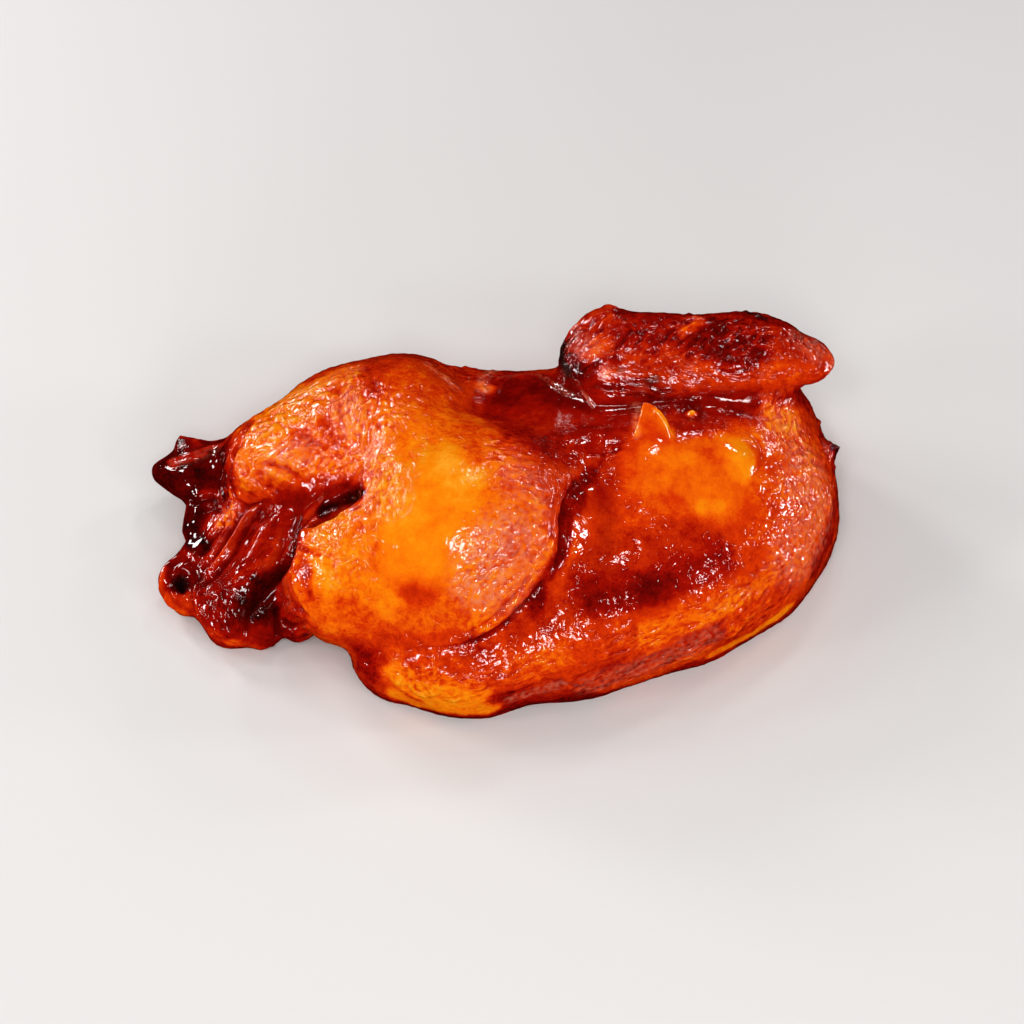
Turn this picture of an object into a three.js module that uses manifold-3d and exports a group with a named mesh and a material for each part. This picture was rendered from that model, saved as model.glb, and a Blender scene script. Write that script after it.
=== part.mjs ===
// Half of a roast chicken, cooked whole and split lengthwise, lying on its flat cut side.
//
// The bird is one solid. Each muscle, bone end and fold of skin is a rounded form with a place and a size.
// A form is written as the distance from a point to its surface, less than nothing inside, so that forms
// can run into one another over a few millimetres, and one surface is drawn where the distance is nothing.
// The cut side is a flat plane.
//
// Millimetres, +Z up. +X runs from the tail to the neck, +Y from the keel of the breast to the spine.

import * as THREE from 'three';
import { MarchingCubes } from 'three/addons/objects/MarchingCubes.js';
import { ImprovedNoise } from 'three/addons/math/ImprovedNoise.js';
import { mergeVertices } from 'three/addons/utils/BufferGeometryUtils.js';
import Module from 'manifold-3d';

// Lines of flesh and bone: at each place its x, y and z, and the thickness to each side of the line.
const KEEL = [[-37, -66, 9, 17], [-14, -65, 12, 22.5], [20, -54, 13, 26], [54, -41, 14, 26],
  [74, -30, 12, 24]];
const SPINE = [[-30, 18, 24, 20], [34, 18, 26, 19]];
const SHOULDER_BONE = [[82, 16, 34, 17], [34, 24, 42, 15]];
const DRUMSTICK_LOW = [[-54, -51, 23, 19], [-16, -44, 22, 31]];
const DRUMSTICK_HIGH = [[-58, -42, 28, 16], [-26, -34, 28, 30]];
const HIP_FRONT = [[-38, 19.5, 28, 21.5], [-59, 17, 25, 19.3]];
const HIP_REAR = [[-58, 15, 24, 20], [-84, 4, 20, 16]];
const HIP_COLLAR = [[-82, 15, 22, 5], [-87, 5, 27, 5.2], [-86, -6, 26, 5.5]];
const FOREARM = [[33.5, 24, 54.5, 17.5], [80, 23, 57, 15]];
const WING_END = [[80, 23, 57, 15], [102.5, 24, 51, 8.3]];
const ELBOW = [[33, 33, 60, 6.5], [36, 28, 58, 6]];
const WRIST = [[75, 33, 58, 5], [92, 30, 56, 4]];
const TAIL_ROOT = [[-88, 7, 17, 11], [-110, 6.5, 13.5, 10]];
const TAIL_TIP = [[-110, 6.5, 13.5, 10], [-122.8, 8, 12.5, 4]];
const TAIL_SPUR = [[-110, 11, 20, 4], [-115.5, 15, 23, 1.8]];
const NECK_NUB = [[106, 5, 27, 4], [112, 4, 29, 2.8]];

// The end of the leg, where the skin has drawn up into folds over the bone.
const TOP_FOLD = [[-78, -12, 22, 5.5], [-88, -19, 18, 5.3], [-96, -30, 14, 5.2], [-103, -38, 9, 5]];
const BROAD_FOLD = [[-76, -24, 21, 8], [-86, -38, 15, 7.7], [-93, -49, 9, 7.3], [-96, -53, 4, 7]];
const INNER_FOLD = [[-72, -38, 16, 7], [-81, -50, 9, 6], [-84, -56, 4, 5.5]];
const LOW_FOLD = [[-66, -46, 12, 7], [-72, -54, 6, 6]];
const BONE_RING = [[-97, -33, 10, 5], [-109, -29, 11, 5.3], [-115.5, -36, 8.5, 5.3], [-111, -44, 6, 5],
  [-100, -45, 8, 5]];
const KNUCKLE = [[-92, -2, 14, 6.5], [-105.5, -6, 13, 6.8], [-107, -17, 11.5, 6.6], [-98, -28, 11, 6]];
const SHANK_BONE = [[-90, -12, 15, 10], [-94, -24, 12, 10]];

// Muscles: the middle, the half widths along the three axes, and the turn about +Z in degrees.
const BREAST = [[28, -18, 6], [85, 51, 51], 13];
const BREAST_FRONT = [[63, -8, 12], [47, 42, 43], 10];
const BELLY = [[-30, 0, 8], [60, 46, 36], 0];
const SHOULDER = [[74, 14, 16], [33, 30, 30], 0];
const THIGH = [[-6, -32, 22], [43, 41, 43.5], 0];
const THIGH_BACK = [[-38, -2, 22], [29, 34.5, 37.5], 0];
const HIP_MUSCLE = [[-66, 0, 26], [28, 20, 20], 10];
const SHANK_SKIN = [[-88, -38, 6], [17, 24, 13], -25];

// What is taken away: the hollow under the wing, the dip where the breast meets the thigh, and the
// narrow opening between the two lobes of the leg, a slot that is flat along its face.
const ARMPIT = [[22, 5, 61, 9], [78, 8, 64, 10]];
const DIP = [[40, 0, 70, 7], [28, -26, 62, 7.2], [26, -46, 58, 7.4], [20, -61, 51, 7.6], [6, -73, 44, 7.8],
  [-12, -82, 39, 8]];
const OPENING = [[-50, -35, 48, 2], [-66, -34, 40, 12]];
const OPENING_FLAT = 0.25;
const OPENING_FACE = [0.1, 0.95, -0.295];

const WING_FLAT = 0.56;           // thickness of the wing as a share of its width
const WING_FACE = [0, -0.26, 0.966];
const ROUND = [0, 0, 1];

const FLESH_BLEND = 11;           // between muscles that lie under one skin
const LEG_BLEND = 16;             // between the muscles of the leg
const WING_BLEND = 6;
const FOLD_BLEND = 3;             // where one piece of skin lies on another
const UNEVEN = 0.6;               // height of the slow rise and fall of the skin
const UNEVEN_SPAN = 17;           // from one rise to the next

const FLAP_HEIGHT = 11.5;         // the loose three-cornered flap of skin in the armpit
const FLAP_WIDTH = 14;
const FLAP_THICK = 2;
const FLAP_ROOT = 5;              // how deep the flap reaches into the flesh
const FLAP_PLACE = [47.5, -12, 54.5];
const FLAP_LEAN = 45;             // degrees from upright, towards the spine
const FLAP_TURN = -20;

const CELL = 3.9;                 // side of one cell of the grid that the surface is drawn on
const CELLS = 66;                 // along each side of that grid
const GRID_MIDDLE = [-6.5, -22, 34];
const CLEAR = 0.25;               // least distance kept between the surface and a corner of a cell
const UNDER = 8;                  // depth of solid below the plane of the cut
const OVER = 90;                  // above this height there is nothing

const wasm = await Module();
wasm.setup();
const noise = new ImprovedNoise();

function join(a, b, blend) {
  const h = Math.max(blend - Math.abs(a - b), 0) / blend;
  return Math.min(a, b) - h * h * blend / 4;
}

function carve(a, b, blend) {
  return -join(-a, b, blend);
}

function together(forms, blend) {
  return (x, y, z) => forms.reduce((d, form) => join(d, form(x, y, z), blend), OVER);
}

// One stretch of a line, between two places, made flat along the direction `face` by the share `flat`.
function limb([a, b], flat = 1, face = ROUND) {
  const axis = [b[0] - a[0], b[1] - a[1], b[2] - a[2]];
  const length = Math.hypot(...axis);
  const taper = (a[3] - b[3]) / Math.sqrt(length ** 2 - (a[3] - b[3]) ** 2);
  const squeeze = 1 / flat - 1;
  const steepen = 1 / flat ** 2 - 1;
  return (x, y, z) => {
    let px = x - a[0];
    let py = y - a[1];
    let pz = z - a[2];
    const lift = (px * face[0] + py * face[1] + pz * face[2]) * squeeze;
    px += face[0] * lift;
    py += face[1] * lift;
    pz += face[2] * lift;
    const along = (px * axis[0] + py * axis[1] + pz * axis[2]) / length;
    const out = Math.sqrt(Math.max(0, px * px + py * py + pz * pz - along * along));
    const t = THREE.MathUtils.clamp((along - out * taper) / length, 0, 1);
    px -= axis[0] * t;
    py -= axis[1] * t;
    pz -= axis[2] * t;
    const far = Math.hypot(px, py, pz);
    const tilt = (px * face[0] + py * face[1] + pz * face[2]) / Math.max(far, 1e-6);
    return (far - THREE.MathUtils.lerp(a[3], b[3], t)) / Math.sqrt(1 + tilt * tilt * steepen);
  };
}

// A line of several stretches.
function line(places, blend = 1) {
  return together(places.slice(1).map((place, i) => limb([places[i], place])), blend);
}

function muscle([middle, reach, turn]) {
  const cos = Math.cos(THREE.MathUtils.degToRad(turn));
  const sin = Math.sin(THREE.MathUtils.degToRad(turn));
  return (x, y, z) => {
    const dx = x - middle[0];
    const dy = y - middle[1];
    const u = (dx * cos + dy * sin) / reach[0];
    const v = (dy * cos - dx * sin) / reach[1];
    const w = (z - middle[2]) / reach[2];
    const size = Math.hypot(u, v, w);
    const slope = Math.hypot(u / reach[0], v / reach[1], w / reach[2]);
    return slope < 1e-9 ? -Math.min(...reach) : size * (size - 1) / slope;
  };
}

function makeBody() {
  return together([
    muscle(BREAST),
    muscle(BREAST_FRONT),
    muscle(BELLY),
    line(KEEL, FLESH_BLEND),
    limb(SPINE),
    muscle(SHOULDER),
    limb(SHOULDER_BONE),
  ], FLESH_BLEND);
}

function makeLeg() {
  const thigh = together([
    muscle(THIGH),
    muscle(THIGH_BACK),
    limb(DRUMSTICK_LOW),
    limb(DRUMSTICK_HIGH),
  ], LEG_BLEND);
  const hip = together([
    limb(HIP_FRONT),
    limb(HIP_REAR),
    muscle(HIP_MUSCLE),
    line(HIP_COLLAR),
  ], FLESH_BLEND);
  return together([thigh, hip], LEG_BLEND);
}

function makeWing() {
  return together([
    limb(FOREARM, WING_FLAT, WING_FACE),
    limb(WING_END, WING_FLAT, WING_FACE),
    limb(ELBOW),
    limb(WRIST),
  ], WING_BLEND);
}

function makeTail() {
  return together([limb(TAIL_ROOT), limb(TAIL_TIP), limb(TAIL_SPUR)], FOLD_BLEND);
}

function makeShank() {
  const folds = [TOP_FOLD, BROAD_FOLD, INNER_FOLD, LOW_FOLD, BONE_RING, KNUCKLE, SHANK_BONE];
  return together([muscle(SHANK_SKIN), ...folds.map((fold) => line(fold))], FOLD_BLEND);
}

// The distance from a point to the skin of the whole bird.
function makeBird() {
  const body = makeBody();
  const armpit = limb(ARMPIT);
  const dip = line(DIP, FLESH_BLEND);
  const leg = makeLeg();
  const opening = limb(OPENING, OPENING_FLAT, OPENING_FACE);
  const wing = makeWing();
  const tail = makeTail();
  const shank = makeShank();
  const nub = limb(NECK_NUB);
  return (x, y, z) => {
    const gap = opening(x, y, z);
    let d = carve(body(x, y, z), armpit(x, y, z), FLESH_BLEND);
    d = carve(d, dip(x, y, z), FLESH_BLEND);
    d = join(d, carve(leg(x, y, z), gap, FOLD_BLEND), FOLD_BLEND);
    d = carve(d, gap, FOLD_BLEND);
    d = join(d, wing(x, y, z), WING_BLEND);
    d = join(d, tail(x, y, z), FOLD_BLEND);
    d = join(d, shank(x, y, z), FOLD_BLEND);
    d = join(d, nub(x, y, z), FOLD_BLEND);
    return d + UNEVEN * noise.noise(x / UNEVEN_SPAN, y / UNEVEN_SPAN, z / UNEVEN_SPAN);
  };
}

// The surface as a closed mesh that still reaches a little way below the plane of the cut.
function drawSurface(distance) {
  const grid = new MarchingCubes(CELLS, new THREE.MeshStandardMaterial(), false, false, 60000);
  const half = CELLS / 2;
  grid.isolation = 0;
  for (let k = 0; k < CELLS; k += 1) {
    const z = GRID_MIDDLE[2] + (k - half) * CELL;
    const empty = z < -UNDER - 2 * CELL || z > OVER;
    for (let j = 0; j < CELLS; j += 1) {
      const y = GRID_MIDDLE[1] + (j - half) * CELL;
      for (let i = 0; i < CELLS; i += 1) {
        const x = GRID_MIDDLE[0] + (i - half) * CELL;
        const d = empty ? CELL : Math.max(distance(x, y, z), -UNDER - z);
        grid.field[i + (j + k * CELLS) * CELLS] = d < 0 ? Math.max(-d, CLEAR) : Math.min(-d, -CLEAR);
      }
    }
  }
  grid.update();
  const corners = grid.positionArray.slice(0, grid.count * 3);
  const shape = new THREE.BufferGeometry();
  shape.setAttribute('position', new THREE.BufferAttribute(corners, 3));
  shape.scale(half * CELL, half * CELL, half * CELL);
  shape.translate(...GRID_MIDDLE);
  return shape;
}

function makeFlap() {
  const outline = new THREE.Shape();
  outline.moveTo(-FLAP_WIDTH / 2, -FLAP_ROOT);
  outline.lineTo(-FLAP_WIDTH / 2, FLAP_HEIGHT);
  outline.lineTo(-FLAP_WIDTH / 4, FLAP_HEIGHT);
  outline.quadraticCurveTo(FLAP_WIDTH / 4, FLAP_HEIGHT * 0.75, FLAP_WIDTH / 2, 0);
  outline.lineTo(FLAP_WIDTH / 2, -FLAP_ROOT);
  outline.closePath();
  const sheet = { depth: FLAP_THICK, bevelEnabled: false, curveSegments: 4 };
  const shape = new THREE.ExtrudeGeometry(outline, sheet);
  shape.rotateX(THREE.MathUtils.degToRad(90 - FLAP_LEAN));
  shape.rotateZ(THREE.MathUtils.degToRad(FLAP_TURN));
  shape.translate(...FLAP_PLACE);
  return shape;
}

function toSolid(shape) {
  const bare = shape.clone();
  bare.deleteAttribute('normal');
  bare.deleteAttribute('uv');
  const merged = mergeVertices(bare, 1e-3);
  return new wasm.Manifold(new wasm.Mesh({
    numProp: 3,
    vertProperties: new Float32Array(merged.attributes.position.array),
    triVerts: new Uint32Array(merged.index.array),
  }));
}

function toShape(solid) {
  const mesh = solid.getMesh();
  const shape = new THREE.BufferGeometry();
  shape.setAttribute('position', new THREE.BufferAttribute(new Float32Array(mesh.vertProperties), 3));
  shape.setIndex(new THREE.BufferAttribute(new Uint32Array(mesh.triVerts), 1));
  return shape;
}

// The whole bird, cut flat along its middle plane and set over the origin.
function makeHalfChicken() {
  const kept = new THREE.BoxGeometry(CELLS * CELL, CELLS * CELL, OVER);
  kept.translate(GRID_MIDDLE[0], GRID_MIDDLE[1], OVER / 2);
  const whole = toSolid(drawSurface(makeBird())).add(toSolid(makeFlap()));
  const shape = toShape(whole.intersect(toSolid(kept)));
  shape.computeBoundingBox();
  const middle = shape.boundingBox.getCenter(new THREE.Vector3());
  shape.translate(-middle.x, -middle.y, 0);
  shape.computeVertexNormals();
  return shape;
}

const roastSkin = new THREE.MeshStandardMaterial({ color: 0xb8420f, roughness: 0.35, metalness: 0 });
const halfChicken = new THREE.Mesh(makeHalfChicken(), roastSkin);
halfChicken.name = 'half_chicken';

const roastChicken = new THREE.Group();
roastChicken.add(halfChicken);

export default roastChicken;
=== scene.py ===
"""Half of a roast chicken, dressed for the camera.

The solid bird comes from the frame. A copy of it gets a fine even skin. Folds, creases and wrinkles are
pressed into that skin one stroke at a time, and every place on it is given how far it has browned, with
painted shade in the deepest creases and a painted sheen.
Strokes are written as the camera sees the bird. Their places are pairs of numbers, across and down its
square frame in pixels, and each stroke is laid on the skin that the camera meets there, so it sits on the
bird from every side. Heights, widths and radii are in millimetres.
"""

import math
from contextlib import contextmanager

import bmesh
import bpy
import numpy as np
from bpy.props import FloatProperty, FloatVectorProperty, IntProperty, PointerProperty
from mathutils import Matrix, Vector, noise
from mathutils.bvhtree import BVHTree


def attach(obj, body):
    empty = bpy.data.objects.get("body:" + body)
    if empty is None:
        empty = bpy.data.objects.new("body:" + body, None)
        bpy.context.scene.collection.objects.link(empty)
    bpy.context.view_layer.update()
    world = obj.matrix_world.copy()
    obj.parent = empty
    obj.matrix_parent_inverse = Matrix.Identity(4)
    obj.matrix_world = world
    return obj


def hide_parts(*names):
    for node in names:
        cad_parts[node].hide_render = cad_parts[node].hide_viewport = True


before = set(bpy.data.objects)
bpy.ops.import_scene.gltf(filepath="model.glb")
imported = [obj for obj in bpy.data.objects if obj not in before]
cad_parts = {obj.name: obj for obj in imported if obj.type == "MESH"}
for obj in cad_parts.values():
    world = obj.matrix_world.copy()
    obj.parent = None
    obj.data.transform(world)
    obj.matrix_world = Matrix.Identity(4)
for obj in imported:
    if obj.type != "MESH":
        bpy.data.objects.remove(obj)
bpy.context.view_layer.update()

bl_info = {
    "name": "Roast Chicken",
    "version": (1, 0, 0),
    "blender": (4, 5, 0),
    "location": "3D View > Sidebar > Chicken",
    "description": "Gives the half chicken its roasted skin and sets the stage",
    "category": "Object",
}

MM = 0.001
NODE = "half_chicken"
FRAME_SIDE = 1024
FRAME_MIDDLE = FRAME_SIDE / 2
NOISE_SEED = 3
TINY = 1e-12

# ---- Strokes ----
# Each row is a height, a half width and the places that the stroke runs through.

# Edges of skin that lie over what is beside them. The side on the left, going along the stroke, is on top.
LAPS = [
    # the thigh over the breast, from the keel up to the armpit
    (1.0, 1.1, (410, 645, 446, 645, 474, 638, 496, 627, 514, 612, 531, 594, 548, 573)),
    (0.9, 1.8, (548, 573, 559, 556, 560, 535, 561, 514, 565, 498, 572, 487, 582, 479)),
    # the front lobe of the leg over the folds of the shank
    (1.9, 1.3, (352, 499, 336, 507, 319, 515, 304, 527, 297, 542, 294, 558, 293, 574, 296, 592,
                305, 610, 318, 628)),
    # the broad sheet of skin down the shank, over the two narrow folds beside it
    (1.5, 1.2, (198, 586, 212, 576, 229, 557, 239, 540, 249, 523, 262, 510)),
    # the sheet's end, over the ring at the bone
    (1.8, 1.2, (204, 578, 196, 586, 194, 600, 199, 614, 211, 629, 226, 640, 241, 644)),
    # the collar of skin over the root of the tail
    (1.1, 1.0, (246, 430, 236, 443, 228, 456, 222, 472, 221, 490, 226, 501)),
    # the rounded end of the hip over the collar and the root of the shank
    (1.6, 1.3, (246, 438, 238, 453, 233, 468, 232, 482, 236, 495, 246, 503, 258, 502, 267, 496)),
]

# Lines pressed into the skin, with a negative height, and raised out of it, with a positive one.
LINES = [
    # the groove between thigh and breast, and the wrinkles of the edge of the thigh along it
    (-0.9, 2.1, (594, 474, 582, 480, 571, 491, 564, 512, 562, 535, 559, 556, 546, 575)),
    (-0.7, 0.8, (546, 575, 531, 597, 513, 615, 494, 631, 470, 641)),
    (-0.5, 0.7, (604, 446, 603, 460, 594, 473)),
    (0.40, 0.6, (566, 480, 557, 498, 554, 520, 552, 543, 542, 561)),
    (0.35, 0.6, (556, 486, 549, 505, 547, 526, 544, 545)),
    (0.65, 0.8, (541, 565, 529, 583, 515, 600, 497, 619, 476, 634, 450, 643)),
    (-0.6, 0.6, (534, 569, 520, 588, 505, 605, 488, 621, 464, 634)),
    # collar, bulge and creases at the end of the hip
    (0.5, 0.7, (246, 434, 236, 446, 229, 461, 224, 475, 223, 492)),
    (1.6, 3.0, (246, 472, 250, 484, 253, 492)),
    (-1.3, 1.1, (262, 464, 276, 465, 289, 471, 304, 481)),
    (0.9, 1.3, (262, 478, 272, 474, 284, 479, 296, 487)),
    (-0.9, 1.0, (264, 487, 272, 488, 280, 493)),
    (-0.7, 1.0, (296, 435, 306, 438, 316, 443, 328, 449)),
    (-0.7, 1.0, (325, 421, 331, 434, 338, 448)),
    (0.55, 1.0, (277, 461, 290, 454, 304, 449, 318, 446, 331, 441)),
    (0.45, 0.9, (331, 463, 342, 461, 353, 459)),
    (-0.6, 1.4, (336, 388, 340, 402, 344, 418)),
    (-0.6, 1.6, (367, 364, 371, 378, 376, 394)),
    (0.45, 1.0, (356, 388, 361, 406, 364, 424)),
    # two narrow folds down the shank, with a crease between them and one beside them
    (1.0, 0.8, (268, 499, 256, 508, 246, 516, 239, 528, 229, 544, 219, 559, 203, 576)),
    (0.9, 0.8, (241, 510, 229, 525, 221, 540, 208, 559, 197, 573)),
    (-0.9, 0.8, (247, 509, 234, 525, 224, 541, 212, 559)),
    (-1.4, 1.1, (230, 516, 217, 532, 207, 545, 198, 560)),
    # the broad sheet, with a deep fold on its right and a crest along that
    (1.8, 4.2, (266, 516, 260, 538, 248, 560, 234, 582, 222, 602)),
    (0.9, 1.3, (285, 532, 271, 558, 254, 576, 242, 592)),
    (-2.2, 1.7, (299, 526, 292, 554, 280, 573, 264, 588, 250, 608, 246, 628, 247, 642)),
    # the lumps at its foot
    (1.3, 1.7, (261, 604, 264, 622, 268, 642)),
    (-1.3, 0.9, (276, 600, 277, 620, 277, 642)),
    (1.3, 1.5, (284, 606, 296, 612, 305, 618)),
    (-1.2, 0.8, (280, 618, 292, 625, 307, 622)),
    (0.8, 1.2, (286, 634, 300, 634)),
    (0.25, 0.7, (212, 592, 220, 612, 226, 632)),
    (0.25, 0.7, (228, 590, 234, 608, 237, 628)),
    # the ring of skin at the end of the bone, with its hole
    (-3.2, 1.9, (179, 579, 182, 588)),
    (0.9, 1.0, (188, 553, 173, 560, 163, 571, 161, 588, 167, 603, 181, 613)),
    (-0.8, 0.9, (186, 560, 174, 567, 169, 578, 168, 592, 175, 603)),
    (0.9, 1.1, (192, 556)),
    # the tail
    (-1.4, 1.2, (188, 503, 202, 500, 219, 498)),
    (0.55, 0.6, (155, 466, 172, 460, 192, 454, 207, 448, 223, 443)),
    (0.45, 0.6, (168, 466, 184, 461, 200, 456, 216, 450)),
    (-0.4, 0.6, (164, 468, 184, 465, 204, 461, 218, 457)),
    # the knob of the breastbone
    (0.9, 2.0, (459, 664, 465, 664)),
    (-0.5, 1.2, (449, 657, 446, 665, 452, 673, 464, 675)),
    # wing
    (0.8, 0.9, (676, 334, 688, 327, 702, 321)),
    (-0.9, 1.0, (674, 342, 692, 335, 708, 327)),
    (0.6, 0.9, (628, 352, 640, 344, 652, 333)),
    (-0.7, 1.2, (612, 352, 626, 340, 640, 326)),
    (-0.8, 1.4, (716, 352, 736, 344, 756, 334)),
    (0.6, 1.2, (728, 330, 744, 326, 762, 328)),
    (0.7, 1.1, (606, 305, 614, 307)),
    (0.7, 0.9, (746, 309)),
    (0.6, 0.9, (757, 314)),
    (0.5, 0.8, (690, 308)),
    (-0.9, 0.9, (803, 387, 817, 381, 831, 376)),
    (-0.5, 2.4, (628, 402, 655, 400, 683, 398, 744, 393, 792, 391)),
    # the dried film over the back
    (0.50, 0.6, (424, 363, 434, 369, 443, 377, 453, 385, 462, 392)),
    (0.45, 0.6, (497, 367, 490, 373, 485, 380, 482, 387, 488, 394)),
    (0.45, 0.6, (490, 379, 512, 377, 535, 374, 548, 379, 557, 387, 566, 393, 579, 399)),
    (0.60, 0.5, (580, 391, 587, 398, 595, 409)),
    (0.30, 0.5, (440, 365, 455, 369, 470, 368, 484, 372)),
    (0.30, 0.5, (452, 374, 465, 381, 476, 379)),
    (0.25, 0.5, (458, 391, 468, 397, 480, 396)),
    # wrinkles above the groove
    (0.35, 0.6, (496, 439, 507, 444, 519, 449)),
    (0.40, 0.6, (486, 459, 498, 461, 512, 467, 526, 472)),
    (0.35, 0.6, (492, 476, 508, 480, 524, 488, 538, 494)),
    (0.45, 0.6, (604, 449, 616, 447, 629, 445)),
    (-0.6, 0.7, (586, 452, 604, 454, 620, 450)),
    # breast
    (1.6, 1.4, (692, 414)),
    (1.3, 4.4, (741, 458)),
    (-0.45, 0.8, (752, 433, 761, 447, 760, 464, 750, 479)),
    (0.6, 1.3, (790, 490)),
    (0.6, 1.5, (804, 489)),
    (0.5, 1.3, (801, 525)),
    (-0.7, 1.0, (786, 465, 804, 463, 820, 465, 833, 470)),
    (0.8, 1.0, (822, 420)),
    (0.6, 0.9, (836, 468)),
    # the notch and the dent in the front lobe of the leg
    (-0.7, 0.9, (299, 547, 310, 552, 322, 556)),
    (0.4, 0.8, (303, 542, 314, 547, 325, 551)),
    (-0.5, 2.4, (330, 556, 338, 572)),
]

# Thin parts that keep their edges when the skin is rounded off, as a share, a radius and the places.
KEPT = [
    (0.92, 7, (637, 408, 640, 425, 660, 428)),
    (0.7, 3, (181, 442)),
    (0.7, 4, (838, 450)),
]

# ---- Regions of relief ----

# Taut glazed skin with hardly any wrinkles or grain, as a strength, a radius and the places.
TAUT = [
    (0.75, 13, (165, 478, 205, 476)),
    (0.50, 12, (268, 520, 250, 560, 222, 600)),
    (0.50, 8, (215, 600, 230, 625)),
    (0.50, 6, (240, 515, 205, 565)),
    (0.70, 6, (300, 500, 345, 480)),
    (0.30, 5, (565, 490, 562, 540)),
    (0.85, 8, (165, 575, 175, 605)),
    (0.70, 5, (250, 610, 270, 600, 262, 635)),
    (0.80, 15, (520, 400, 560, 410, 610, 415)),
    (0.60, 8, (650, 402, 740, 400)),
    (1.00, 5, (640, 410, 645, 430, 662, 430)),
    (0.75, 11, (650, 462, 740, 460)),
    (0.75, 9, (690, 500, 730, 505)),
    (0.80, 7, (596, 500, 598, 530)),
    (0.50, 12, (620, 590, 680, 570)),
    (0.75, 14, (430, 490, 415, 560)),
    (1.00, 4, (310, 506, 352, 496)),
    (0.90, 6, (194, 508, 194, 545)),
]

# Wrinkles that run one way. Each row is a height, the distance from one to the next, how many times longer
# than wide they are, the way that they run in degrees below the line to the right, a radius and the places.
COMBED = [
    # hip
    (0.40, 1.8, 2.6, -28, 9, (262, 455, 285, 452, 310, 446)),
    (0.38, 1.7, 2.4, 28, 8, (262, 428, 300, 430, 322, 440)),
    (0.46, 1.8, 3.2, 80, 9, (345, 385, 352, 410, 350, 432)),
    (0.38, 1.8, 2.8, 72, 6, (378, 395, 386, 420)),
    (0.38, 1.7, 2.4, -45, 8, (272, 408, 300, 398, 328, 385)),
    (0.38, 1.8, 2.6, -12, 7, (322, 460, 352, 462)),
    (0.45, 1.6, 2.2, 72, 6, (378, 465, 392, 500)),
    (0.35, 1.7, 2.0, 35, 6, (250, 480, 262, 488)),
    # crumpled patch beside the tail
    (0.65, 1.8, 1.6, 75, 5, (226, 500, 228, 516)),
    # over the back, above the groove
    (0.35, 1.7, 3.2, 20, 8, (500, 448, 520, 470, 528, 495)),
    (0.30, 1.6, 3.0, 100, 5, (560, 480, 552, 505, 549, 540)),
    (0.30, 1.5, 2.6, 15, 6, (440, 368, 470, 372, 488, 380)),
    # lower front of the thigh
    (0.34, 1.6, 2.0, -42, 10, (515, 530, 495, 560, 480, 585)),
    (0.36, 1.5, 2.4, -40, 7, (530, 556, 510, 595, 480, 620)),
    # front lobe of the leg
    (0.35, 1.4, 2.4, -25, 3, (326, 524, 350, 514, 370, 504)),
    (0.30, 1.6, 2.0, -15, 6, (318, 540, 345, 560)),
    # wing
    (0.50, 1.8, 4.0, -33, 8, (572, 338, 590, 345, 602, 330)),
    (0.45, 2.3, 2.8, -42, 9, (630, 345, 665, 345, 700, 330)),
    (0.45, 2.3, 2.4, -20, 8, (720, 330, 760, 340)),
    (0.45, 1.8, 2.2, 78, 5, (795, 340, 812, 346)),
    (0.35, 2.1, 3.4, 3, 6, (610, 385, 690, 380, 790, 374)),
    # shank
    (0.25, 1.8, 3.0, -55, 8, (262, 530, 240, 570)),
    (0.20, 1.8, 2.5, 75, 6, (212, 600, 228, 620)),
    # stringy flesh along the keel
    (0.55, 1.4, 6.0, -24, 7, (590, 684, 650, 664, 715, 640, 775, 600)),
    (0.40, 1.6, 4.0, -22, 8, (620, 650, 700, 622, 780, 580)),
    (0.40, 1.6, 3.0, -20, 7, (410, 680, 480, 690, 540, 670)),
    # neck end
    (0.50, 1.6, 2.6, -62, 9, (780, 420, 800, 445)),
    (0.35, 1.5, 3.0, -75, 5, (822, 430, 832, 470, 830, 510)),
]

# Low round bumps, as a height, the distance from one to the next, a radius and the places.
PEBBLED = [
    (0.55, 2.0, 14, (800, 480, 812, 520, 795, 555)),
    (0.12, 2.2, 10, (600, 580, 650, 570, 700, 560, 745, 545)),
    (0.08, 2.2, 10, (610, 520, 650, 530, 700, 530)),
    (0.20, 1.8, 8, (815, 350, 822, 362)),
    (0.25, 1.8, 9, (480, 670, 560, 645, 620, 615)),
]

# ---- Browning and painted shade ----
# From 0 for pale yellow fat, through amber, orange and red, to 1 for black. Most rows are browning; some
# darken the slit, the groove, deep folds and the undersides of wing and hip as painted shade. Each row is
# the tone, how strongly, past 1 for a sharper edge, a radius and the places. Later rows lie over earlier
# ones.

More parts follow.
